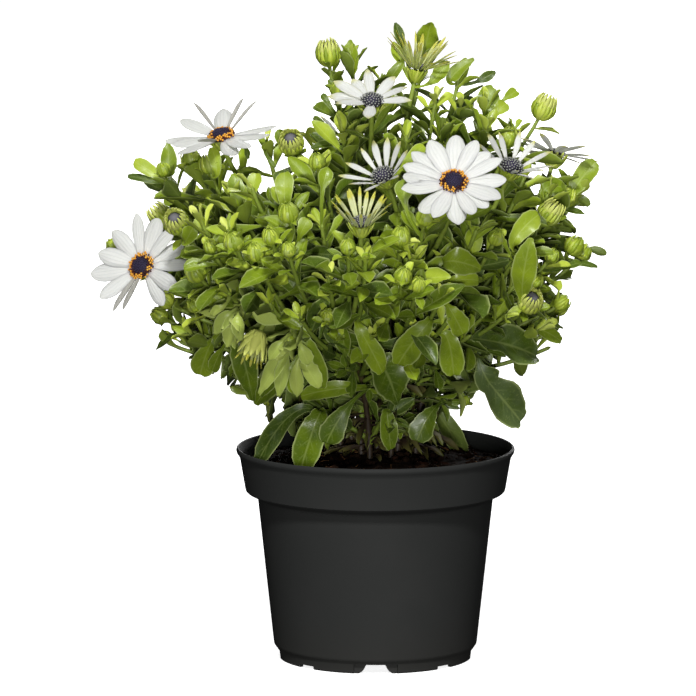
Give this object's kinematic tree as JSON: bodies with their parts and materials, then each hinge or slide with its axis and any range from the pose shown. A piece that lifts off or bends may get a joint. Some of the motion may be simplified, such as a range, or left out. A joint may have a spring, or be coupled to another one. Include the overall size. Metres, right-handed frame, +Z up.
{
  "type": "potted osteospermum",
  "caption": "White osteospermum with violet-blue centres, buds and dense green leaves, growing in soil in a round black nursery pot with a stepped collar.",
  "frame": {"origin": "centre of the pot's flat underside, which rests on the ground", "axes": "+Z is up, and -Y is the front that the picture shows, with +X to the right"},
  "size_m": [0.2392, 0.2419, 0.3006],
  "materials": {
    "pot_plastic": "satin black moulded plastic",
    "soil": "moist dark peat with crumbs and fibres",
    "leaf": "slightly fleshy satin leaf, paler at the midrib and the tip",
    "petal": "soft matte white with faint grooves",
    "disc": "fine violet-blue florets with an orange pollen ring"
  },
  "bodies": {
    "root": {"pot": "pot_plastic", "soil": "soil", "leafy_stem_01": "leaf", "leafy_stem_02": "leaf", "leafy_stem_03": "leaf", "leafy_stem_04": "leaf", "leafy_stem_05": "leaf", "leafy_stem_06": "leaf", "leafy_stem_07": "leaf", "leafy_stem_08": "leaf", "leafy_stem_09": "leaf", "leafy_stem_10": "leaf", "leafy_stem_11": "leaf", "leafy_stem_12": "leaf", "leafy_stem_13": "leaf", "leafy_stem_14": "leaf", "leafy_stem_15": "leaf", "leafy_stem_16": "leaf", "bloom_left_petals": "petal", "bloom_left_disc": "disc", "bloom_upper_left_petals": "petal", "bloom_upper_left_disc": "disc", "bloom_main_petals": "petal", "bloom_main_disc": "disc", "bloom_top_white_petals": "petal", "bloom_top_white_disc": "disc", "bloom_middle_petals": "petal", "bloom_middle_disc": "disc", "bloom_upper_right_petals": "petal", "bloom_upper_right_disc": "disc", "bloom_cup_petals": "petal", "bloom_cup_disc": "disc", "bloom_top_spray_petals": "petal", "bloom_top_spray_disc": "disc", "bloom_right_back_petals": "petal", "bloom_right_back_disc": "disc", "bloom_wilted_petals": "petal", "bloom_wilted_disc": "disc", "bloom_back_right_petals": "petal", "bloom_back_right_disc": "disc", "bloom_back_left_petals": "petal", "bloom_back_left_disc": "disc", "bloom_back_top_petals": "petal", "bloom_back_top_disc": "disc"}
  },
  "joints": []
}
